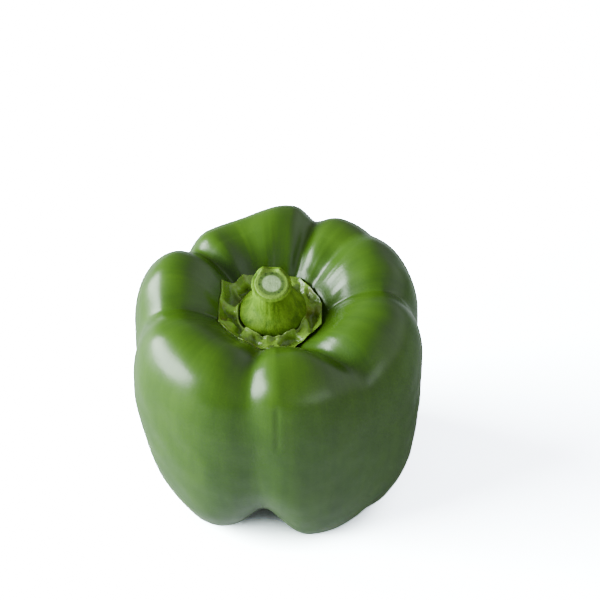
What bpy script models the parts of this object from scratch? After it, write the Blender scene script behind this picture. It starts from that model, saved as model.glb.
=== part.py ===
"""A green bell pepper, picked, standing on the feet of its lobes with its cut stem up.

Three pieces: the hollow-shouldered fruit, the ragged green calyx seated in the hollow, and the
stem that stands on the calyx. Units are metres, +Z is up, and the front of the fruit faces -Y.
"""
from math import radians

import bmesh
import bpy
import numpy as np

# Driving sizes of the fruit: a half section through the crest of a lobe and one through the
# bottom of a crease, each as (distance from the axis, height) from the hollow at the top, over
# the shoulder, down the side and under the foot to the dimple at the bottom.
LOBE_SECTION = [
    (0.0, 0.0634), (0.008, 0.0634), (0.0145, 0.0644), (0.0182, 0.0688), (0.0224, 0.0746),
    (0.028, 0.078), (0.0345, 0.0773), (0.0396, 0.0725), (0.0424, 0.0645), (0.0432, 0.054),
    (0.0429, 0.041), (0.0415, 0.028), (0.0388, 0.016), (0.034, 0.006), (0.027, -0.0007),
    (0.018, 0.0012), (0.008, 0.006), (0.0, 0.008),
]
CREASE_SECTION = [
    (0.0, 0.0634), (0.008, 0.0634), (0.0135, 0.0638), (0.017, 0.0654), (0.0215, 0.068),
    (0.027, 0.070), (0.032, 0.0688), (0.0357, 0.0645), (0.0376, 0.058), (0.0382, 0.049),
    (0.0378, 0.038), (0.036, 0.0275), (0.032, 0.018), (0.0265, 0.012), (0.0205, 0.0095),
    (0.0135, 0.0085), (0.0065, 0.008), (0.0, 0.0082),
]
# Direction in which each lobe is fullest, in degrees from +X towards +Y; the front is 270.
LOBES = [18, 54, 92, 166, 222, 289, 335]
# Each crease between two lobes: its direction at the calyx, over the shoulder and at the foot,
# then the share of the full depth that it has at those three heights.
CREASES = [
    ((1, -4, -8), (0.85, 0.5, 0.6)),
    ((48, 41, 40), (0.25, 0.08, 0.15)),
    ((70, 66, 68), (0.7, 0.5, 0.8)),
    ((144, 146, 143), (0.8, 0.6, 0.8)),
    ((194, 189, 184), (0.9, 0.6, 0.8)),
    ((249, 256, 264), (1.0, 0.8, 1.0)),
    ((309, 309, 315), (0.6, 0.25, 0.15)),
]
TURN_AT = [0.12, 0.38, 0.8]      # shares of the way down the section where the directions hold
DEPTH_AT = [0.15, 0.5, 0.8]      # and where the depths hold
CREASE_ROUNDING = (4.0, 5.5)     # degrees: half width of a crease's bottom, on top and on the side
LOBE_FLATNESS = (0.3, 0.6)       # 0 is a round lobe that meets the crease steeply
# Uneven growth: direction in degrees, girth at the shoulder, girth at the foot, shoulder's rise.
GROWTH = [
    (18, 0.96, 1.0, -0.0008), (54, 0.95, 0.98, -0.0016), (85, 0.955, 0.98, -0.0016),
    (112, 0.91, 0.94, -0.002), (130, 0.90, 0.94, -0.0016), (166, 0.935, 0.965, -0.0008),
    (205, 0.995, 0.96, 0.0), (235, 1.0, 1.04, 0.0), (290, 0.985, 0.98, 0.0),
    (318, 0.99, 1.07, 0.0), (343, 0.985, 1.04, 0.0),
]
GROWTH_SPREAD = 16.0             # how sharply one direction's growth gives way to the next
FOOT_HEIGHT = 0.05               # girth turns from the shoulder's to the foot's below this height
SHOULDER_BASE = 0.04             # the shoulder's rise starts at this height
SHOULDER_SPAN = 0.045
SHOULDER_RADIUS = 0.025

# The stem: its half section as (radius, height), with a bulb at the base and a flat cut end.
STEM_SECTION = [
    (0.0, 0.0), (0.0042, 0.0), (0.0068, 0.0008), (0.0083, 0.0025), (0.0088, 0.0047),
    (0.0083, 0.0068), (0.0072, 0.0087), (0.0062, 0.0105), (0.0056, 0.0125), (0.0055, 0.0145),
    (0.0057, 0.0157), (0.0, 0.0157),
]
STEM_LEAN = radians(11)          # towards the front, reached at the top of the bulb
STEM_BULB = 0.008                # height of the bulb, whose base stays level
STEM_FOOT = (-0.0012, -0.0001, 0.0654)

# The calyx: a thin fleshy plate with a bumpy inner ridge, a groove, and a ragged raised rim.
CALYX_MIDDLE = (-0.0012, -0.0009)
CALYX_UNDERSIDE = 0.0639         # height of the flat seat on the fruit
CALYX_RIM = 0.0136               # radius of the rim between its points
CALYX_POINTS = [12, 45, 75, 120, 162, 196, 240, 303, 338]
CALYX_POINT_REACH = 0.0016
CALYX_POINT_WIDTH = radians(9)
# (share of the way from the middle to the rim, height above the underside), over the top
# from the middle to the rim and back under the plate.
CALYX_SECTION = [
    (0.0, 0.0012), (0.4, 0.0012), (0.58, 0.0016), (0.66, 0.0026), (0.72, 0.0036), (0.8, 0.0031),
    (0.88, 0.0030), (0.95, 0.0037), (1.0, 0.0042), (0.985, 0.0034), (0.9, 0.0021),
    (0.78, 0.0012), (0.6, 0.0003), (0.4, 0.0), (0.0, 0.0),
]

FRUIT_SIDES = 88
FRUIT_RINGS = 44
CALYX_SIDES = 72
STEM_SIDES = 36

SKIN_GREEN = (0.10, 0.24, 0.02, 1.0)
CALYX_GREEN = (0.16, 0.27, 0.05, 1.0)
STEM_GREEN = (0.36, 0.45, 0.10, 1.0)


def smooth_section(points, share):
    """Catmull-Rom curve through the section's points, read at shares 0 to 1 of its spans.

    A mirrored point beyond each end makes the section meet the axis squarely.
    """
    points = np.array(points)
    before = [-points[1][0], points[1][1]]
    after = [-points[-2][0], points[-2][1]]
    points = np.vstack([before, points, after])
    spans = len(points) - 3
    place = np.clip(share, 0, 1) * spans
    start = np.minimum(place.astype(int), spans - 1)
    u = (place - start)[:, None]
    a, b, c, d = (points[start + k] for k in range(4))
    return 0.5 * (2 * b + (c - a) * u + (2 * a - 5 * b + 4 * c - d) * u**2
                  + (3 * b - a - 3 * c + d) * u**3)


def growth(angle, column):
    """One column of GROWTH at each angle: a mean of the directions, weighted by nearness."""
    total = 0.0
    weights = 0.0
    for row in GROWTH:
        weight = np.exp(GROWTH_SPREAD * (np.cos(angle - radians(row[0])) - 1))
        total = total + weight * row[column]
        weights = weights + weight
    return total / weights


def crease_share(angle, share):
    """How far each point lies towards the crease section: 1 in a crease, 0 on a lobe's crest.

    Away from a crease the surface rises along a round arc until the crest of the next lobe.
    """
    side = np.clip((share - 0.15) / 0.3, 0, 1)
    rounding = CREASE_ROUNDING[0] + (CREASE_ROUNDING[1] - CREASE_ROUNDING[0]) * side
    flatness = LOBE_FLATNESS[0] + (LOBE_FLATNESS[1] - LOBE_FLATNESS[0]) * side
    lobe = np.ones_like(share)
    for directions, depths in CREASES:
        direction = np.interp(share, TURN_AT, directions)
        depth = np.interp(share, DEPTH_AT, depths)
        away = (np.degrees(angle) - direction + 180) % 360 - 180
        to_next = min((crest - directions[0]) % 360 for crest in LOBES) + directions[0] - direction
        to_last = min((directions[0] - crest) % 360 for crest in LOBES) - directions[0] + direction
        reach = np.where(away > 0, to_next, to_last)
        climb = (np.hypot(away, rounding) - rounding) / (np.hypot(reach, rounding) - rounding)
        climb = np.clip(climb, 0, 1)
        arc = np.sqrt(1 - (1 - climb)**2 + flatness**2) - flatness
        arc = arc / (np.sqrt(1 + flatness**2) - flatness)
        lobe = lobe * (1 - depth * (1 - arc))
    return 1 - lobe


def sphere_object(name, sides, rings, colour, roughness):
    """A UV sphere as a new object, with the angle and the share of the way down of each vertex."""
    mesh = bpy.data.meshes.new(name)
    form = bmesh.new()
    bmesh.ops.create_uvsphere(form, u_segments=sides, v_segments=rings, radius=1.0)
    form.to_mesh(mesh)
    form.free()
    piece = bpy.data.objects.new(name, mesh)
    collection.objects.link(piece)
    material = bpy.data.materials.new(name)
    material.use_nodes = True
    surface = material.node_tree.nodes["Principled BSDF"]
    surface.inputs["Base Color"].default_value = colour
    surface.inputs["Roughness"].default_value = roughness
    surface.inputs["Metallic"].default_value = 0.0
    mesh.materials.append(material)
    place = np.empty(len(mesh.vertices) * 3)
    mesh.vertices.foreach_get("co", place)
    x, y, z = place.reshape(-1, 3).T
    return piece, np.arctan2(y, x), np.arccos(np.clip(z, -1, 1)) / np.pi


def place_vertices(piece, x, y, z):
    """Moves the vertices to the given places and shades the piece smooth."""
    piece.data.vertices.foreach_set("co", np.stack([x, y, z], axis=1).ravel())
    piece.data.shade_smooth()
    piece.data.update()


def make_fruit():
    """The fruit: the two sections blended by the creases, with uneven growth and flat feet."""
    fruit, angle, share = sphere_object("fruit", FRUIT_SIDES, FRUIT_RINGS, SKIN_GREEN, 0.22)
    crease = crease_share(angle, share)[:, None]
    section = smooth_section(LOBE_SECTION, share) * (1 - crease)
    section = section + smooth_section(CREASE_SECTION, share) * crease
    radius, height = section.T
    low = np.clip((FOOT_HEIGHT - height) / (FOOT_HEIGHT - 0.005), 0, 1)
    radius = radius * (growth(angle, 1) * (1 - low) + growth(angle, 2) * low)
    top = np.clip((height - SHOULDER_BASE) / SHOULDER_SPAN, 0, 1)**1.5
    height = height + growth(angle, 3) * top * np.clip(radius / SHOULDER_RADIUS, 0, 1)
    place_vertices(fruit, radius * np.cos(angle), radius * np.sin(angle), np.maximum(height, 0))
    return fruit


def ring_section(points, share):
    """The section's points, one for each ring of the sphere, with straight runs between them."""
    points = np.array(points)
    place = share * (len(points) - 1)
    known = np.arange(len(points))
    return np.interp(place, known, points[:, 0]), np.interp(place, known, points[:, 1])


def make_calyx():
    """The calyx: its section turned round, with the rim drawn out into ragged points."""
    calyx, angle, share = sphere_object(
        "calyx", CALYX_SIDES, len(CALYX_SECTION) - 1, CALYX_GREEN, 0.4)
    reach, height = ring_section(CALYX_SECTION, share)
    off = np.full_like(angle, np.pi)
    for point in CALYX_POINTS:
        off = np.minimum(off, np.abs((angle - radians(point) + np.pi) % (2 * np.pi) - np.pi))
    rim = CALYX_RIM + CALYX_POINT_REACH * np.exp(-off / CALYX_POINT_WIDTH)
    outer = np.clip((reach - 0.66) / (1 - 0.66), 0, 1)
    radius = reach * (CALYX_RIM * (1 - outer) + rim * outer)
    place_vertices(calyx, CALYX_MIDDLE[0] + radius * np.cos(angle),
                   CALYX_MIDDLE[1] + radius * np.sin(angle), CALYX_UNDERSIDE + height)
    return calyx


def make_stem():
    """The stem: its section turned round an axis that bends from upright to its lean."""
    stem, angle, share = sphere_object("stem", STEM_SIDES, len(STEM_SECTION) - 1, STEM_GREEN, 0.5)
    radius, height = ring_section(STEM_SECTION, 1 - share)
    lean = STEM_LEAN * np.clip(height / STEM_BULB, 0, 1)
    x = radius * np.cos(angle)
    y = radius * np.sin(angle)
    place_vertices(stem, STEM_FOOT[0] + x,
                   STEM_FOOT[1] + y * np.cos(lean) - height * np.sin(lean),
                   STEM_FOOT[2] + y * np.sin(lean) + height * np.cos(lean))
    return stem


def centre_over_origin(pieces):
    """Slides the pieces sideways together until the middle of their box is on the Z axis."""
    places = []
    for piece in pieces:
        place = np.empty(len(piece.data.vertices) * 3)
        piece.data.vertices.foreach_get("co", place)
        places.append(place.reshape(-1, 3))
    every = np.vstack(places)
    middle = (every.min(axis=0) + every.max(axis=0)) / 2
    middle[2] = 0
    for piece, place in zip(pieces, places):
        place_vertices(piece, *(place - middle).T)


for old in list(bpy.data.objects):
    bpy.data.objects.remove(old, do_unlink=True)

collection = bpy.data.collections.new("bell_pepper")
bpy.context.scene.collection.children.link(collection)

centre_over_origin([make_fruit(), make_calyx(), make_stem()])
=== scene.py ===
"""A green bell pepper with its calyx and cut stem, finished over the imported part."""
from math import cos, pi, radians, sin

import bpy
import numpy as np
from mathutils import Matrix, Vector


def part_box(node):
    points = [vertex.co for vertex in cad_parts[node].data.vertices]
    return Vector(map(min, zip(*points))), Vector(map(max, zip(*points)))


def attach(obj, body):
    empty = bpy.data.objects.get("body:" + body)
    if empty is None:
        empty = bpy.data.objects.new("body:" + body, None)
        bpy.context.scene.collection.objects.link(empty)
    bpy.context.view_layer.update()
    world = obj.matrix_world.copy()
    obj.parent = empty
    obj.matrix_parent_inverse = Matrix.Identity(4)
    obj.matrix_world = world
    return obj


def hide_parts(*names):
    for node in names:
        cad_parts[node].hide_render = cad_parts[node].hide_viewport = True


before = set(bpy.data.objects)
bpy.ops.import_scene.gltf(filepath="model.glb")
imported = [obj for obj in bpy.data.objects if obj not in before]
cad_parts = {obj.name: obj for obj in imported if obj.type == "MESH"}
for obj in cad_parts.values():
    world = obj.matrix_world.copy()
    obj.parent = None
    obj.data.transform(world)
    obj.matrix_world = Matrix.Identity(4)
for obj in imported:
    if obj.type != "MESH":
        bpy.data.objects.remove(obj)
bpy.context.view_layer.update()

# The fruit: one lobed, hollow-shouldered body in a tough waxed skin, deep green, with painted
# light on the crests near the top and painted shade low in the deepest creases. It grew round its
# stalk, so seven uneven lobes meet in creases that run from the calyx over the shoulders and down
# the sides to the feet that it stands on.

# Half sections through a lobe's crest and through the bottom of a crease, each as (distance from
# the axis, height), from the hollow at the top to the dimple underneath, in metres.
LOBE_SECTION = [
    (0.0, 0.0634), (0.008, 0.0634), (0.0136, 0.0662), (0.0172, 0.0704), (0.0220, 0.0752),
    (0.028, 0.078), (0.0345, 0.0773), (0.0396, 0.0725), (0.0424, 0.0645), (0.0432, 0.054),
    (0.0429, 0.041), (0.0415, 0.028), (0.0388, 0.016), (0.034, 0.006), (0.027, -0.0007),
    (0.018, 0.0012), (0.008, 0.006), (0.0, 0.008),
]
CREASE_SECTION = [
    (0.0, 0.0634), (0.008, 0.0634), (0.0135, 0.0650), (0.017, 0.0666), (0.0215, 0.0687),
    (0.027, 0.070), (0.032, 0.0688), (0.0357, 0.0645), (0.0376, 0.058), (0.0382, 0.049),
    (0.0378, 0.038), (0.036, 0.0275), (0.032, 0.018), (0.0265, 0.012), (0.0205, 0.0095),
    (0.0135, 0.0085), (0.0065, 0.008), (0.0, 0.0082),
]
# Directions are in degrees from +X towards +Y, the front being 270. Each crease: its direction at
# the calyx, over the shoulder and at the foot; its share of the full depth near the calyx, over
# the shoulder, on the side and at the foot; and how many degrees it reaches into the lobe before
# it and the lobe after it, over the shoulder and then at the foot.
CREASES = [
    ((2, 0, -7), (0.50, 0.38, 0.60, 0.6), (22, 16), (18, 25)),
    ((45, 42, 40), (0.42, 0.18, 0.08, 0.12), (21, 16), (22, 20)),
    ((68, 71, 70), (0.50, 0.38, 0.45, 0.8), (14, 12), (12, 23)),
    ((141, 141, 143), (0.65, 0.57, 0.5, 0.8), (16, 24), (38, 23)),
    ((194, 189, 184), (0.75, 0.65, 0.6, 0.8), (24, 34), (18, 38)),
    ((255, 258.5, 265), (0.5, 0.36, 0.42, 1.2), (30, 16), (40, 28)),
    ((292, 309, 317), (0.75, 0.62, 0.25, 0.15), (26, 26), (28, 18)),
]
# Shares of the way down the section at which those directions and depths hold.
TURN_AT = [0.12, 0.38, 0.8]
DEPTH_AT = [0.15, 0.32, 0.5, 0.8]
# Half width in degrees of a crease's round bottom, and the shares of the way down for the two.
CREASE_ROUNDING = [3.5, 5.5]
ROUNDING_AT = [0.15, 0.45]
# The power that the rest of a lobe's climb is taken to: a higher one makes the lobes broader.
LOBE_BREADTH = 2.6
# Uneven growth: direction, girth at the shoulder and at the foot, and the shoulder's rise in metres.
GROWTH = [
    (18, 0.95, 1.0, -0.0008), (41, 0.99, 1.0, 0.0018), (59, 0.94, 0.98, -0.0078),
    (79, 0.965, 0.98, 0.0006), (112, 0.875, 0.94, -0.0042), (130, 0.86, 0.94, -0.0036),
    (158, 0.945, 0.965, 0.0014), (176, 0.935, 0.965, 0.0004), (205, 1.03, 0.955, 0.0),
    (235, 1.0, 1.02, 0.0), (290, 0.985, 0.98, 0.0), (318, 0.99, 1.07, 0.0),
    (343, 1.0, 1.045, 0.0),
]
# How sharply one direction's growth gives way to the next.
GROWTH_SPREAD = 16.0
# Heights at which the foot's girth and the shoulder's girth hold, with an even change between.
GIRTH_AT = [0.005, 0.05]
# The shoulder's rise starts at the base, is full a span above it, and grows out to the radius.
SHOULDER_BASE = 0.04
SHOULDER_SPAN = 0.045
SHOULDER_EASE = 1.5
SHOULDER_RADIUS = 0.025
FRUIT_SIDES = 380
FRUIT_ROWS = 250
FRUIT_SEED = 5


def smooth_section(points, share):
    """Catmull-Rom curve through the points, mirrored past each end, read at shares 0 to 1."""
    points = np.array(points)
    before = [-points[1][0], points[1][1]]
    after = [-points[-2][0], points[-2][1]]
    points = np.vstack([before, points, after])
    spans = len(points) - 3
    place = np.clip(share, 0, 1) * spans
    start = np.minimum(place.astype(int), spans - 1)
    u = (place - start)[..., None]
    a, b, c, d = (points[start + k] for k in range(4))
    return 0.5 * (2 * b + (c - a) * u + (2 * a - 5 * b + 4 * c - d) * u**2
                  + (3 * b - a - 3 * c + d) * u**3)


def bump(value, middle, width):
    """A smooth hump of height 1: e to minus the square of the distance over the width."""
    return np.exp(-((value - middle) / width)**2)


def between(value, low, high):
    """A smooth step from 0 at low to 1 at high."""
    step = np.clip((value - low) / (high - low), 0, 1)
    return step * step * (3 - 2 * step)


def angle_from(angle, degrees):
    """Degrees from a direction, from -180 to 180."""
    return (np.degrees(angle) - degrees + 180) % 360 - 180


def growth(angle, column):
    """Mean of one column of GROWTH, each row weighted by e to the spread times (cosine - 1)."""
    weights = [np.exp(GROWTH_SPREAD * (np.cos(angle - radians(row[0])) - 1)) for row in GROWTH]
    total = sum(weight * row[column] for weight, row in zip(weights, GROWTH))
    return total / sum(weights)


def crease_share(angle, share):
    """1 in a crease and 0 on a crest: one minus the product, over all creases, of one minus the
    depth times what is left to climb. The climb goes from 0 at the crease to 1 at its reach along
    a line with a rounded start, and what is left of it is taken to the power of the breadth."""
    rounding = np.interp(share, ROUNDING_AT, CREASE_ROUNDING)
    lobe = np.ones_like(share)
    for directions, depths, over_shoulder, at_foot in CREASES:
        away = angle_from(angle, np.interp(share, TURN_AT, directions))
        before, after = (np.interp(share, TURN_AT[1:], ends)
                         for ends in zip(over_shoulder, at_foot))
        reach = np.where(away > 0, after, before)
        climb = (np.hypot(away, rounding) - rounding) / (np.hypot(reach, rounding) - rounding)
        left = (1 - np.clip(climb, 0, 1))**LOBE_BREADTH
        lobe = lobe * (1 - np.interp(share, DEPTH_AT, depths) * left)
    return 1 - lobe


def around_and_down(sides, rows):
    """Angle and share of the way down for a grid of rows by sides."""
    share, angle = np.meshgrid(np.linspace(0, 1, rows), np.arange(sides) * 2 * pi / sides,
                               indexing="ij")
    return angle, share


def ripples(points, wavelength, seed, count=24):
    """Smooth unevenness: a sum of cosine waves in random directions, scaled to a mean square of 1."""
    draw = np.random.default_rng(seed)
    way = draw.normal(size=(count, 3))
    way = way / np.linalg.norm(way, axis=1)[:, None] * draw.uniform(0.6, 1.4, (count, 1))
    phase = draw.uniform(0, 2 * pi, count)
    return np.cos(points @ way.T * 2 * pi / wavelength + phase).sum(axis=-1) * (2 / count)**0.5


def raise_surface(points, height):
    """Moves each point of a closed grid by its height along the normal, the cross product of the
    steps down and around."""
    around = np.roll(points, -1, 1) - np.roll(points, 1, 1)
    down = np.gradient(points, axis=0)
    normal = np.cross(down, around)
    length = np.linalg.norm(normal, axis=-1, keepdims=True)
    normal = np.divide(normal, length, out=np.zeros_like(normal), where=length > 1e-12)
    return points + normal * height[..., None]


def closed_mesh(name, points, **values):
    """A closed mesh from rows of points: the first and last rows close to one point each.

    values are numbers kept on the points for the material to read.
    """
    rows, sides = points.shape[:2]
    grid = np.arange((rows - 2) * sides).reshape(rows - 2, sides) + 1
    last = (rows - 2) * sides + 1
    near, far = grid[:-1], grid[1:]
    quads = np.stack([near, far, np.roll(far, -1, 1), np.roll(near, -1, 1)], axis=-1)
    top = [(0, a, b) for a, b in zip(grid[0], np.roll(grid[0], -1))]
    bottom = [(last, b, a) for a, b in zip(grid[-1], np.roll(grid[-1], -1))]

    def flat(field):
        return np.concatenate([field[:1, :1].reshape(1, -1),
                               field[1:-1].reshape((rows - 2) * sides, -1),
                               field[-1:, :1].reshape(1, -1)])

    mesh = bpy.data.meshes.new(name)
    mesh.from_pydata(flat(points).tolist(), [], quads.reshape(-1, 4).tolist() + top + bottom)
    for key, value in values.items():
        layer = mesh.attributes.new(key, "FLOAT", "POINT")
        layer.data.foreach_set("value", flat(value[..., None]).ravel().astype(np.float32))
    mesh.shade_smooth()
    piece = bpy.data.objects.new(name, mesh)
    bpy.context.scene.collection.objects.link(piece)
    return piece


angle, share = around_and_down(FRUIT_SIDES, FRUIT_ROWS)
crease = crease_share(angle, share)
section = (smooth_section(LOBE_SECTION, share) * (1 - crease[..., None])
           + smooth_section(CREASE_SECTION, share) * crease[..., None])
radius, height = section[..., 0], section[..., 1]
low = np.interp(height, GIRTH_AT, [1, 0])
radius = radius * (growth(angle, 1) * (1 - low) + growth(angle, 2) * low)
shoulder = np.clip((height - SHOULDER_BASE) / SHOULDER_SPAN, 0, 1)**SHOULDER_EASE
height = height + growth(angle, 3) * shoulder * np.clip(radius / SHOULDER_RADIUS, 0, 1)
form = np.stack([radius * np.cos(angle), radius * np.sin(angle), height], axis=-1)

# The skin's own unevenness: long swells all over, finer ones, and shallow pleats that run out
# of the hollow over the shoulders, where the skin was drawn in round the stalk.
# Swells: height and wavelength in metres. Pleats: how many go round, share of the height, phase.
SWELL = (0.00016, 0.030)
FINE_SWELL = (0.00004, 0.009)
PLEAT_HEIGHT = 0.00002
PLEATS = [(31, 0.25, 2.1), (44, 0.35, 4.0), (61, 0.4, 1.2), (79, 0.35, 3.3), (97, 0.2, 0.4)]
PLEATS_RUN = (0.12, 0.20, 0.24, 0.40)
# Folds and small scars along the fruit: each one's direction and half width in degrees and height
# in metres, and the four shares of the way down between which it rises and fades.
FOLDS = [
    (271, 0.9, -0.0003, (0.41, 0.44, 0.50, 0.53)),
    (118, 13, -0.0009, (0.12, 0.20, 0.30, 0.42)),
    (97, 9, 0.0004, (0.12, 0.20, 0.30, 0.42)),
    (247, 9, 0.0008, (0.12, 0.17, 0.26, 0.36)),
    (152, 14, 0.0006, (0.40, 0.49, 0.51, 0.60)),
    (337, 0.9, -0.0002, (0.60, 0.63, 0.70, 0.73)),
]
# The relief starts outside the calyx, at these shares of the way down, and dies out at the feet.
RELIEF_STARTS = (0.13, 0.20)
FOOT_PAD = 0.004


def along_run(share, run):
    """0 outside four shares of the way down, 1 between the middle two, smooth between."""
    start, full, still, end = run
    return between(share, start, full) * (1 - between(share, still, end))


relief = SWELL[0] * ripples(form, SWELL[1], FRUIT_SEED)
relief = relief + FINE_SWELL[0] * ripples(form, FINE_SWELL[1], FRUIT_SEED + 1)
pleats = sum(size * np.cos(count * angle + turn) for count, size, turn in PLEATS)
relief = relief + PLEAT_HEIGHT * pleats * along_run(share, PLEATS_RUN)
for direction, width, rise, run in FOLDS:
    relief = relief + bump(angle_from(angle, direction), 0, width) * rise * along_run(share, run)
relief = relief * between(share, *RELIEF_STARTS) * between(height, 0.0, FOOT_PAD)
form = raise_surface(form, relief)
form[..., 2] = np.maximum(form[..., 2], 0)

fruit_low, fruit_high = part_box("fruit")
own_middle = (form.reshape(-1, 3).min(axis=0) + form.reshape(-1, 3).max(axis=0)) / 2
FRUIT_AXIS = np.array([(fruit_low.x + fruit_high.x) / 2 - own_middle[0],
                       (fruit_low.y + fruit_high.y) / 2 - own_middle[1], 0])
# The blossom left a small corky scar in the dimple underneath.
SCAR_RADIUS = (0.0008, 0.0017)
SCAR_HEIGHT = 0.0004
underneath = share > 0.9
scar = underneath * (1 - between(radius, *SCAR_RADIUS))
form[..., 2] = form[..., 2] + SCAR_HEIGHT * scar
fruit = closed_mesh("fruit_skin", form + FRUIT_AXIS, crease=crease, down=share, scar=scar)


def new_group(name, inputs, outputs):
    """A shader node group with float or vector sockets; gives its tree and its two end nodes."""
    tree = bpy.data.node_groups.new(name, "ShaderNodeTree")
    kinds = {"f": "NodeSocketFloat", "v": "NodeSocketVector"}
    for label, kind, start in inputs:
        socket = tree.interface.new_socket(label, in_out="INPUT", socket_type=kinds[kind])
        if start is not None:
            socket.default_value = start
    for label, kind in outputs:
        tree.interface.new_socket(label, in_out="OUTPUT", socket_type=kinds[kind])
    return tree, tree.nodes.new("NodeGroupInput"), tree.nodes.new("NodeGroupOutput")


def add(tree, kind, settings=None, **inputs):
    """A node with its settings and inputs: an input is a value or another node's output, and is
    given by its name, or as i0, i1 and so on by its place."""
    node = tree.nodes.new(kind)
    for key, value in (settings or {}).items():
        setattr(node, key, value)
    for key, value in inputs.items():
        by_place = key[0] == "i" and key[1:].isdigit()
        socket = node.inputs[int(key[1:]) if by_place else key.replace("_", " ")]
        if isinstance(value, bpy.types.NodeSocket):
            tree.links.new(value, socket)
        else:
            socket.default_value = value
    return node


def maths(tree, operation, a, b):
    """The result of one Math node."""
    return add(tree, "ShaderNodeMath", {"operation": operation}, i0=a, i1=b).outputs[0]


def step_between(tree, value, low, high):
    """0 below low, 1 above high, smooth between."""
    return add(tree, "ShaderNodeMapRange", {"interpolation_type": "SMOOTHSTEP"},
               Value=value, From_Min=low, From_Max=high).outputs["Result"]


def blend_colour(tree, amount, first, second):
    """first where amount is 0, second where it is 1."""
    node = tree.nodes.new("ShaderNodeMix")
    node.data_type = "RGBA"
    for socket, value in zip((node.inputs[0], node.inputs[6], node.inputs[7]),
                             (amount, first, second)):
        if isinstance(value, bpy.types.NodeSocket):
            tree.links.new(value, socket)
        else:
            socket.default_value = value
    return node.outputs[2]


def noise(tree, vector, scale, detail=2.0, roughness=0.5, distortion=0.0):
    """Value of a noise texture, about 0.5 in the mean."""
    return add(tree, "ShaderNodeTexNoise", None, Vector=vector, Scale=scale, Detail=detail,
               Roughness=roughness, Distortion=distortion).outputs[0]


def new_material(name, **settings):
    """A material with its Principled shader's own sockets set, and its object coordinates."""
    material = bpy.data.materials.new(name)
    material.use_nodes = True
    tree = material.node_tree
    shader = tree.nodes["Principled BSDF"]
    for key, value in settings.items():
        shader.inputs[key.replace("_", " ")].default_value = value
    return material, tree, shader, tree.nodes.new("ShaderNodeTexCoord").outputs["Object"]


# Plant tissue, used in all three materials: a mottle of soft patches and a grain of fine cells.
tissue, tissue_in, tissue_out = new_group(
    "plant_tissue",
    [("Vector", "v", None), ("Patch Scale", "f", 120.0), ("Cell Scale", "f", 900.0)],
    [("Mottle", "f"), ("Cells", "f")])
patches = noise(tissue, tissue_in.outputs["Vector"], tissue_in.outputs["Patch Scale"],
                4.0, 0.6, 0.4)
cell = add(tissue, "ShaderNodeTexVoronoi", {"feature": "SMOOTH_F1"},
           Vector=tissue_in.outputs["Vector"], Scale=tissue_in.outputs["Cell Scale"],
           Smoothness=0.6, Randomness=0.9).outputs["Distance"]
tissue.links.new(step_between(tissue, patches, 0.32, 0.68), tissue_out.inputs["Mottle"])
tissue.links.new(maths(tissue, "SUBTRACT", 1.0, cell), tissue_out.inputs["Cells"])

SKIN_DEEP = (0.022, 0.057, 0.004, 1.0)
SKIN_LIGHT = (0.054, 0.117, 0.005, 1.0)
# Painted shade for the bottoms of the deepest creases.
SKIN_PAINTED_CREASE_SHADE = (0.017, 0.050, 0.003, 1.0)
SCAR_CORK = (0.16, 0.12, 0.045, 1.0)
# How much each of these takes the colour from deep towards light: painted light on the crest of a
# lobe near the top, broad patches, the tissue's mottle, and streaks that run down the fruit.
CREST_PAINTED_LIGHT_SHARE = 0.32
PATCH_SHARE = 0.30
MOTTLE_SHARE = 0.12
STREAK_SHARE = 0.22
# How much painted shade darkens the bottom of a crease where it runs deepest, towards the feet.
CREASE_PAINTED_SHADE_SHARE = 0.5
skin, tree, shader, place = new_material("pepper_skin", IOR=1.43)
marks = add(tree, "ShaderNodeGroup", {"node_tree": tissue}, Vector=place, Patch_Scale=170.0,
            Cell_Scale=1500.0)
crease_value = add(tree, "ShaderNodeAttribute", {"attribute_name": "crease"}).outputs["Fac"]
down_value = add(tree, "ShaderNodeAttribute", {"attribute_name": "down"}).outputs["Fac"]
drawn_out = add(tree, "ShaderNodeMapping", None, Vector=place, Scale=(1.0, 1.0, 0.4))
broad = noise(tree, drawn_out.outputs["Vector"], 45.0, 3.0, 0.55)
# The streaks are noise over the direction round the fruit's axis, which changes slowly upwards.
from_axis = add(tree, "ShaderNodeMapping", None, Vector=place,
                Location=(-FRUIT_AXIS[0], -FRUIT_AXIS[1], 0.0), Scale=(1.0, 1.0, 0.0))
round_fruit = add(tree, "ShaderNodeVectorMath", {"operation": "NORMALIZE"},
                  i0=from_axis.outputs["Vector"])
up_fruit = add(tree, "ShaderNodeMapping", None, Vector=place, Scale=(0.0, 0.0, 3.0))
along = add(tree, "ShaderNodeVectorMath", {"operation": "ADD"}, i0=round_fruit.outputs[0],
            i1=up_fruit.outputs["Vector"])
streaks = noise(tree, along.outputs[0], 14.0, 5.0, 0.65)
# Painted light: the crests of the lobes near the top are made paler, where light falls on the
# shoulders.
painted_crest_light = maths(tree, "MULTIPLY", maths(tree, "SUBTRACT", 1.0, crease_value),
              maths(tree, "SUBTRACT", 1.0, step_between(tree, down_value, 0.3, 0.6)))
lightness = maths(tree, "ADD", maths(tree, "MULTIPLY", painted_crest_light, CREST_PAINTED_LIGHT_SHARE),
                  maths(tree, "MULTIPLY", step_between(tree, broad, 0.35, 0.68), PATCH_SHARE))
lightness = maths(tree, "ADD", lightness,
                  maths(tree, "MULTIPLY", marks.outputs["Mottle"], MOTTLE_SHARE))
lightness = maths(tree, "ADD", lightness,
                  maths(tree, "MULTIPLY", step_between(tree, streaks, 0.3, 0.7), STREAK_SHARE))
colour = blend_colour(tree, lightness, SKIN_DEEP, SKIN_LIGHT)
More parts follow.
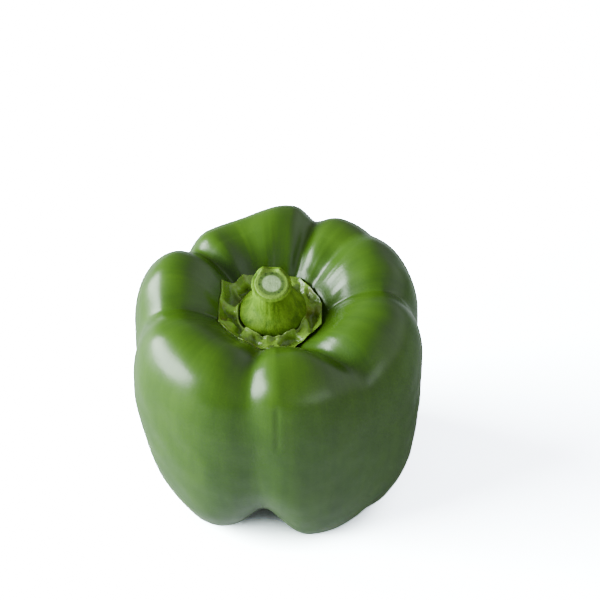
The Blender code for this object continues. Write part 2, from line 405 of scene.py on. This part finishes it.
# Painted shade: the bottoms of the deepest creases are darkened.
painted_crease_shade = maths(tree, "MULTIPLY", step_between(tree, crease_value, 0.75, 1.0), CREASE_PAINTED_SHADE_SHARE)
colour = blend_colour(tree, painted_crease_shade, colour, SKIN_PAINTED_CREASE_SHADE)
scar_value = add(tree, "ShaderNodeAttribute", {"attribute_name": "scar"}).outputs["Fac"]
colour = blend_colour(tree, scar_value, colour, SCAR_CORK)
tree.links.new(colour, shader.inputs["Base Color"])
gloss = add(tree, "ShaderNodeMapRange", None, Value=broad, To_Min=0.25, To_Max=0.35)
tree.links.new(gloss.outputs["Result"], shader.inputs["Roughness"])
skin_bump = add(tree, "ShaderNodeBump", None, Strength=0.06, Distance=0.0002,
                Height=maths(tree, "ADD", marks.outputs["Cells"], marks.outputs["Mottle"]))
tree.links.new(skin_bump.outputs["Normal"], shader.inputs["Normal"])
fruit.data.materials.append(skin)
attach(fruit, "root")
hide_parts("fruit")

# The calyx: the ragged green collar that held the flower, a fleshy plate seated in the hollow.
# It has a groove round the stem, a crinkled ridge, and a thin raised edge that tore into straight
# runs between eleven corners, and it lies on the fruit wherever the hollow rises to meet it.
CALYX_MIDDLE = FRUIT_AXIS + np.array([-0.0012, -0.0009, 0])
CALYX_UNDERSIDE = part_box("calyx")[0].z
CALYX_RIM = 0.0142
# Direction in degrees and distance in metres of each corner of the collar's edge.
CALYX_CORNERS = [
    (13, 0.0146), (38, 0.0146), (60, 0.0156), (95, 0.0148), (122, 0.0150), (149, 0.0162),
    (197, 0.0156), (241, 0.0157), (268, 0.0148), (294, 0.0152), (342, 0.0146),
]
# Half section as (share of the rim's distance, height above the underside): over the top from the
# middle to the rim, and back underneath.
CALYX_SECTION = [
    (0.0, 0.0012), (0.4, 0.0012), (0.60, 0.0012), (0.635, 0.0025), (0.665, 0.0035), (0.71, 0.0027),
    (0.82, 0.0022), (0.93, 0.0026), (1.0, 0.0034), (0.985, 0.0028), (0.9, 0.0019),
    (0.78, 0.0012), (0.6, 0.0003), (0.4, 0.0), (0.0, 0.0),
]
# Shares of the rim's distance where the groove ends, and where the ridge that follows is highest.
GROOVE_END = 0.60
RIDGE_CREST = 0.665
CALYX_CLEARANCE = 0.0002
CALYX_CRINKLE = 0.0009
CALYX_NICKS = 0.0001
CALYX_SIDES = 320
CALYX_ROWS = 113
CALYX_SEED = 11


def fruit_height(x, y):
    """Height of the hollow's surface over places measured from the fruit's axis: each column of
    the form is read by radius, and the two nearest columns are mixed by angle."""
    hollow = form[:FRUIT_ROWS // 3]
    radii = np.hypot(hollow[..., 0], hollow[..., 1])
    steps = np.linspace(0, 0.026, 131)
    table = np.stack([np.interp(steps, radii[:, side], hollow[:, side, 2])
                      for side in range(FRUIT_SIDES)])
    column = np.mod(np.arctan2(y, x), 2 * pi) / (2 * pi) * FRUIT_SIDES
    row = np.clip(np.hypot(x, y) / steps[1], 0, len(steps) - 2)
    c0, r0 = np.floor(column).astype(int), np.floor(row).astype(int)
    c, r = column - c0, row - r0
    c0, c1 = c0 % FRUIT_SIDES, (c0 + 1) % FRUIT_SIDES
    return ((table[c0, r0] * (1 - r) + table[c0, r0 + 1] * r) * (1 - c)
            + (table[c1, r0] * (1 - r) + table[c1, r0 + 1] * r) * c)


angle, share = around_and_down(CALYX_SIDES, CALYX_ROWS)
section = smooth_section(CALYX_SECTION, share)
reach, height = section[..., 0], section[..., 1]
# Between two corners the edge is the straight line through both, as a distance at each angle.
edge = np.full_like(angle, CALYX_RIM)
for (first, near), (second, far) in zip(CALYX_CORNERS, CALYX_CORNERS[1:] + CALYX_CORNERS[:1]):
    span, turned = radians((second - first) % 360), np.mod(angle - radians(first), 2 * pi)
    straight = near * far * sin(span) / (near * np.sin(turned) + far * np.sin(span - turned))
    edge = np.where(turned <= span, straight, edge)
outer = between(reach, 0.66, 1.0)
nicks = ripples(np.stack([np.cos(angle), np.sin(angle), 0 * angle], axis=-1), 0.35, CALYX_SEED)
rim = edge + CALYX_NICKS * nicks
radius = reach * (CALYX_RIM * (1 - outer) + rim * outer)
top_side = 1 - between(share, 0.5, 0.62)
plate = np.stack([radius * np.cos(angle), radius * np.sin(angle), height], axis=-1)
crinkle = ripples(plate * (1, 1, 0), 0.0050, CALYX_SEED + 1)
crinkle = crinkle + 0.3 * ripples(plate * (1, 1, 0), 0.0026, CALYX_SEED + 2)
on_ridge = between(reach, GROOVE_END, RIDGE_CREST) * (1 - 0.7 * between(reach, 0.85, 1.0))
# Where the hollow stands higher than the plate's underside, the plate is lifted onto it.
under = np.interp(reach, *zip(*CALYX_SECTION[:7:-1])) + CALYX_UNDERSIDE
off_axis = CALYX_MIDDLE - FRUIT_AXIS
ground = fruit_height(plate[..., 0] + off_axis[0], plate[..., 1] + off_axis[1]) + CALYX_CLEARANCE
over = np.maximum(ground - under, 0)
lift = CALYX_CRINKLE * np.tanh(crinkle) * on_ridge * top_side
plate[..., 2] = plate[..., 2] + CALYX_UNDERSIDE + lift + over
calyx = closed_mesh("calyx_collar", plate + CALYX_MIDDLE, rim=outer * top_side,
                    groove=1 - between(reach, GROOVE_END, 0.65), lip=bump(reach, RIDGE_CREST, 0.02),
                    ridge=np.tanh(crinkle))

# The collar's colours: a mottle and dry brown patches, a pale torn edge, painted light on its raised
# crinkles and along its inner ridge, and painted shade in its dips and in the groove round the stem.
CALYX_DEEP_AND_SHADE = (0.105, 0.190, 0.018, 1.0)
CALYX_LIGHT = (0.290, 0.490, 0.055, 1.0)
CALYX_TAN = (0.210, 0.175, 0.030, 1.0)
CALYX_PALE_EDGE_AND_HIGHLIGHT = (0.420, 0.560, 0.160, 1.0)
leaf, tree, shader, place = new_material("calyx_flesh", Roughness=0.27, IOR=1.48)
marks = add(tree, "ShaderNodeGroup", {"node_tree": tissue}, Vector=place, Patch_Scale=420.0,
            Cell_Scale=1800.0)
rim_value = add(tree, "ShaderNodeAttribute", {"attribute_name": "rim"}).outputs["Fac"]
painted_groove_shade = add(tree, "ShaderNodeAttribute", {"attribute_name": "groove"}).outputs["Fac"]
ridge_light_and_shade_value = add(tree, "ShaderNodeAttribute", {"attribute_name": "ridge"}).outputs["Fac"]
# Painted light on the raised crinkles and painted shade in their dips, mixed with the tissue's
# mottle.
mottle_and_painted_ridge_light = maths(tree, "ADD", maths(tree, "MULTIPLY", marks.outputs["Mottle"], 0.35),
                    maths(tree, "MULTIPLY", step_between(tree, ridge_light_and_shade_value, -0.8, 0.9), 0.65))
colour = blend_colour(tree, mottle_and_painted_ridge_light, CALYX_DEEP_AND_SHADE, CALYX_LIGHT)
dry = step_between(tree, noise(tree, place, 190.0, 2.0, 0.5), 0.5, 0.7)
colour = blend_colour(tree, maths(tree, "MULTIPLY", dry, 0.5), colour, CALYX_TAN)
colour = blend_colour(tree, step_between(tree, rim_value, 0.95, 1.0), colour, CALYX_PALE_EDGE_AND_HIGHLIGHT)
# Painted shade in the groove round the stem.
colour = blend_colour(tree, maths(tree, "MULTIPLY", painted_groove_shade, 0.7), colour, CALYX_DEEP_AND_SHADE)
# Painted highlight along the inner ridge where it meets the stem's bulb.
painted_lip_highlight = add(tree, "ShaderNodeAttribute", {"attribute_name": "lip"}).outputs["Fac"]
colour = blend_colour(tree, maths(tree, "MULTIPLY", painted_lip_highlight, 0.6), colour, CALYX_PALE_EDGE_AND_HIGHLIGHT)
tree.links.new(colour, shader.inputs["Base Color"])
leaf_bump = add(tree, "ShaderNodeBump", None, Strength=0.15, Distance=0.0003,
                Height=maths(tree, "ADD", marks.outputs["Cells"], marks.outputs["Mottle"]))
tree.links.new(leaf_bump.outputs["Normal"], shader.inputs["Normal"])
calyx.data.materials.append(leaf)
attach(calyx, "root")
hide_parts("calyx")

# The stem: a short fibrous stalk with a swollen base that stands in the calyx's groove. It was
# cut a little slanting, which left two small ears of skin, and the cut shows a green rind, a
# dotted ring of darker vessels and a pale pith.
STEM_FOOT = FRUIT_AXIS + np.array([-0.0010, -0.0002, 0.0654])
# Half section as (radius, height), from the middle of the foot up the side to the cut.
STEM_SECTION = [
    (0.0, 0.0), (0.0045, 0.0), (0.0076, 0.0001), (0.0090, 0.0008), (0.00925, 0.0020),
    (0.0089, 0.0034), (0.0079, 0.0047), (0.0067, 0.0061), (0.0059, 0.0079), (0.0054, 0.0102),
    (0.0051, 0.0124), (0.0047, 0.0137),
]
# The cut: its height, radius, slope, and the direction of its high side in degrees.
STEM_CUT = 0.0140
CUT_RADIUS = 0.0045
CUT_SLANT = 0.16
CUT_HIGH_SIDE = 105
# The stem leans towards the front, fully from the bulb's height on.
STEM_LEAN = radians(6)
STEM_BULB = 0.008
STEM_RIBS = 0.000025
# The bulb is fuller on the right: by how much, at which height, and how far up and down from it.
BULGE = (0.0012, 0.0058, 0.003)
# The two ears of skin at the cut: direction, share of the full height, half width in degrees.
EARS = [(122, 1.0, 16), (62, 0.7, 12)]
EAR_HEIGHT = 0.0012
STEM_SIDES = 200
STEM_ROWS = 150
# Shares of the way down the rows where the cut ends, the side begins, and the ears have run out.
CUT_ENDS = 0.30
SIDE_BEGINS = 0.31
EARS_END = 0.36

angle, share = around_and_down(STEM_SIDES, STEM_ROWS)
on_side = between(share, CUT_ENDS, SIDE_BEGINS)
side_share = 1 - np.clip((share - SIDE_BEGINS) / (1 - SIDE_BEGINS), 0, 1)
side = smooth_section(STEM_SECTION, side_share)
cut_reach = np.clip(share / CUT_ENDS, 0, 1)
radius = np.where(share < CUT_ENDS, cut_reach * CUT_RADIUS, side[..., 0])
height = np.where(share < CUT_ENDS, STEM_CUT, side[..., 1])
ribs = np.cos(13 * angle + 0.8) + 0.7 * np.cos(21 * angle + 2.0) + 0.6 * np.cos(34 * angle)
radius = radius + STEM_RIBS * ribs * between(height, 0.001, 0.003) * (share >= CUT_ENDS)
ears = sum(size * bump(angle_from(angle, direction), 0, width) for direction, size, width in EARS)
ears = ears * between(cut_reach, 0.8, 1.0) * (1 - between(share, SIDE_BEGINS, EARS_END))
height = height + EAR_HEIGHT * ears
radius = radius + BULGE[0] * np.cos(angle) * bump(height, BULGE[1], BULGE[2])
slant = CUT_SLANT * radius * np.cos(np.radians(angle_from(angle, CUT_HIGH_SIDE)))
height = height + slant * between(height, 0.009, STEM_CUT)
lean = STEM_LEAN * np.clip(height / STEM_BULB, 0, 1)
x, y = radius * np.cos(angle), radius * np.sin(angle)
stalk = np.stack([x, y * np.cos(lean) - height * np.sin(lean),
                  y * np.sin(lean) + height * np.cos(lean)], axis=-1)
stem = closed_mesh("stem_stalk", stalk + STEM_FOOT, cut=1 - on_side, reach=cut_reach)

STEM_LIGHT = (0.150, 0.275, 0.010, 1.0)
STEM_DEEP = (0.062, 0.132, 0.006, 1.0)
CUT_SKIN = (0.190, 0.320, 0.040, 1.0)
CUT_FLESH = (0.035, 0.070, 0.012, 1.0)
CUT_VESSELS = (0.090, 0.150, 0.028, 1.0)
CUT_PITH = (0.400, 0.530, 0.280, 1.0)
# How much of the vessels' green mottles the pith.
PITH_MOTTLE = 0.35
bark_and_cut, tree, shader, place = new_material("stem_stalk", Roughness=0.65, IOR=1.4,
                                                 Specular_IOR_Level=0.25)
marks = add(tree, "ShaderNodeGroup", {"node_tree": tissue}, Vector=place, Patch_Scale=700.0,
            Cell_Scale=2200.0)
cut_value = add(tree, "ShaderNodeAttribute", {"attribute_name": "cut"}).outputs["Fac"]
reach_value = add(tree, "ShaderNodeAttribute", {"attribute_name": "reach"}).outputs["Fac"]
fibre_place = add(tree, "ShaderNodeMapping", None, Vector=place, Scale=(500.0, 500.0, 160.0))
fibres = noise(tree, fibre_place.outputs["Vector"], 1.0, 3.0, 0.6)
bark = blend_colour(tree, step_between(tree, fibres, 0.3, 0.7), STEM_DEEP, STEM_LIGHT)
bark = blend_colour(tree, maths(tree, "MULTIPLY", marks.outputs["Mottle"], 0.25), bark, STEM_LIGHT)
pith_mottle = maths(tree, "MULTIPLY", marks.outputs["Mottle"], PITH_MOTTLE)
pith = blend_colour(tree, pith_mottle, CUT_PITH, CUT_VESSELS)
face = blend_colour(tree, step_between(tree, reach_value, 0.50, 0.64), pith, CUT_VESSELS)
dots = add(tree, "ShaderNodeTexVoronoi", None, Vector=place, Scale=1100.0).outputs["Distance"]
in_ring = maths(tree, "MULTIPLY", step_between(tree, reach_value, 0.58, 0.66),
                maths(tree, "SUBTRACT", 1.0, step_between(tree, reach_value, 0.76, 0.84)))
dark_dots = maths(tree, "MULTIPLY", in_ring,
                  maths(tree, "SUBTRACT", 1.0, step_between(tree, dots, 0.2, 0.5)))
face = blend_colour(tree, step_between(tree, reach_value, 0.74, 0.90), face, CUT_SKIN)
face = blend_colour(tree, dark_dots, face, CUT_FLESH)
grain = maths(tree, "MULTIPLY", marks.outputs["Cells"], 0.3)
face = blend_colour(tree, grain, face, CUT_FLESH)
tree.links.new(blend_colour(tree, cut_value, bark, face), shader.inputs["Base Color"])
stalk_bump = add(tree, "ShaderNodeBump", None, Strength=0.3, Distance=0.0003,
                 Height=maths(tree, "ADD", fibres, marks.outputs["Cells"]))
tree.links.new(stalk_bump.outputs["Normal"], shader.inputs["Normal"])
stem.data.materials.append(bark_and_cut)
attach(stem, "root")
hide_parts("stem")

# The surface: a smooth matt white table, wide enough to fill the view. Where it is looked at
# directly it is overexposed to white, and close to the fruit a painted contact shadow, made from
# ambient occlusion, takes it back to its own paint.
FLOOR_HALF = 3.0
TABLE_PAINT = (0.45, 0.46, 0.475, 1.0)
TABLE_GLARE = (13.0, 13.3, 14.8, 1.0)
# How far the painted contact shadow reaches, and the open shares of sky where the glare comes in.
CONTACT_SHADOW_REACH = 0.03
CONTACT_SHADOW_OPEN = (0.12, 0.6)
floor_mesh = bpy.data.meshes.new("floor")
floor_mesh.from_pydata([(-FLOOR_HALF, -FLOOR_HALF, 0), (FLOOR_HALF, -FLOOR_HALF, 0),
                        (FLOOR_HALF, FLOOR_HALF, 0), (-FLOOR_HALF, FLOOR_HALF, 0)],
                       [], [(0, 1, 2, 3)])
floor = bpy.data.objects.new("floor", floor_mesh)
bpy.context.scene.collection.objects.link(floor)
table_white = bpy.data.materials.new("table_white")
table_white.use_nodes = True
tree = table_white.node_tree
tree.nodes.remove(tree.nodes["Principled BSDF"])
paint = tree.nodes.new("ShaderNodeBsdfDiffuse")
seen = tree.nodes.new("ShaderNodeLightPath").outputs["Is Camera Ray"]
# Painted contact shadow: ambient occlusion darkens the table next to the fruit.
painted_contact_shadow = add(tree, "ShaderNodeAmbientOcclusion", {"samples": 32}, Distance=CONTACT_SHADOW_REACH).outputs["AO"]
glare_and_painted_shadow = blend_colour(tree, step_between(tree, painted_contact_shadow, *CONTACT_SHADOW_OPEN), TABLE_PAINT, TABLE_GLARE)
tree.links.new(blend_colour(tree, seen, TABLE_PAINT, glare_and_painted_shadow), paint.inputs["Color"])
tree.links.new(paint.outputs["BSDF"], tree.nodes["Material Output"].inputs["Surface"])
floor_mesh.materials.append(table_white)

# The light: a pale room, darker just above the table and brighter on the right, one wide low
# soft box at the left, and a small dim reflector in front. Looked at directly, the room is
# overexposed to white like the table.
ROOM_COLOUR = (0.93, 0.97, 1.0, 1.0)
ROOM_WALLS = 0.40
ROOM_CEILING = 0.30
ROOM_GLARE = 8.0
# The share of light left near the table, and between which heights (sines) it comes back.
ROOM_SKIRTING = 0.4
SKIRTING_RISE = (0.02, 0.26)
# How many times brighter the right side is, and over which run of X towards it.
ROOM_RIGHT = 4.0
RIGHT_RUN = (0.1, 1.0)
room = bpy.data.worlds.new("room")
bpy.context.scene.world = room
room.use_nodes = True
background = room.node_tree.nodes["Background"]
background.inputs["Color"].default_value = ROOM_COLOUR
tree = room.node_tree
seen = tree.nodes.new("ShaderNodeLightPath").outputs["Is Camera Ray"]
way = add(tree, "ShaderNodeSeparateXYZ", None,
          Vector=tree.nodes.new("ShaderNodeTexCoord").outputs["Generated"])


def eased(value, start, end, first, last):
    """first where the value is below start and last where it is above end, smooth between."""
    return add(tree, "ShaderNodeMapRange", {"interpolation_type": "SMOOTHSTEP"}, Value=value,
               From_Min=start, From_Max=end, To_Min=first, To_Max=last).outputs["Result"]


walls = eased(way.outputs["Z"], 0.0, 0.9, ROOM_WALLS, ROOM_CEILING)
skirting = eased(way.outputs["Z"], *SKIRTING_RISE, ROOM_SKIRTING, 1.0)
right = eased(way.outputs["X"], *RIGHT_RUN, 1.0, ROOM_RIGHT)
room_light = maths(tree, "MULTIPLY", maths(tree, "MULTIPLY", walls, skirting), right)
brightness = add(tree, "ShaderNodeMapRange", None, Value=seen, To_Min=room_light, To_Max=ROOM_GLARE)
tree.links.new(brightness.outputs["Result"], background.inputs["Strength"])

SOFT_BOX_COLOUR = (0.85, 1.0, 0.91)
SOFT_BOX_TARGET = Vector((0, 0, 0.05))


def soft_box(name, direction, height, distance, size, power):
    """A rectangular light at a direction round the fruit and a height angle, both in degrees."""
    light = bpy.data.lights.new(name, "AREA")
    light.shape = "RECTANGLE"
    light.size, light.size_y = size
    light.energy = power
    light.color = SOFT_BOX_COLOUR
    lamp = bpy.data.objects.new(name, light)
    across = distance * cos(radians(height))
    lamp.location = (across * cos(radians(direction)), across * sin(radians(direction)),
                     distance * sin(radians(height)) + SOFT_BOX_TARGET.z)
    aim = SOFT_BOX_TARGET - lamp.location
    lamp.rotation_euler = aim.to_track_quat("-Z", "Y").to_euler()
    bpy.context.scene.collection.objects.link(lamp)


soft_box("left_soft_box", 182, 18, 0.9, (1.0, 0.44), 51.0)
soft_box("front_reflector", 304, 15, 1.1, (0.60, 0.34), 1.7)

# The camera: as the photograph was taken, from 0.52 m away, looking 46 degrees down. The point
# on the fruit's axis at the aim height is seen at the aim pixel of a 600 pixel square.
CAMERA_PITCH = radians(46)
CAMERA_DISTANCE = 0.52
FOCAL_PIXELS = 1800
PHOTO_PIXELS = 600
AIM_PIXEL = (276.5, 370.0)
AIM_HEIGHT = 0.042
SENSOR_WIDTH = 36
forward = np.array([0, cos(CAMERA_PITCH), -sin(CAMERA_PITCH)])
upward = np.array([0, sin(CAMERA_PITCH), cos(CAMERA_PITCH)])
sideways = np.array([1.0, 0, 0])
per_pixel = CAMERA_DISTANCE / FOCAL_PIXELS
stand = (FRUIT_AXIS + np.array([0, 0, AIM_HEIGHT]) - forward * CAMERA_DISTANCE
         - sideways * (AIM_PIXEL[0] - PHOTO_PIXELS / 2) * per_pixel
         + upward * (AIM_PIXEL[1] - PHOTO_PIXELS / 2) * per_pixel)
lens = bpy.data.cameras.new("camera")
lens.sensor_width = SENSOR_WIDTH
lens.lens = SENSOR_WIDTH * FOCAL_PIXELS / PHOTO_PIXELS
lens.clip_start = 0.01
camera = bpy.data.objects.new("camera", lens)
camera.matrix_world = Matrix((
    (sideways[0], upward[0], -forward[0], stand[0]),
    (sideways[1], upward[1], -forward[1], stand[1]),
    (sideways[2], upward[2], -forward[2], stand[2]),
    (0, 0, 0, 1)))
bpy.context.scene.collection.objects.link(camera)
bpy.context.scene.camera = camera
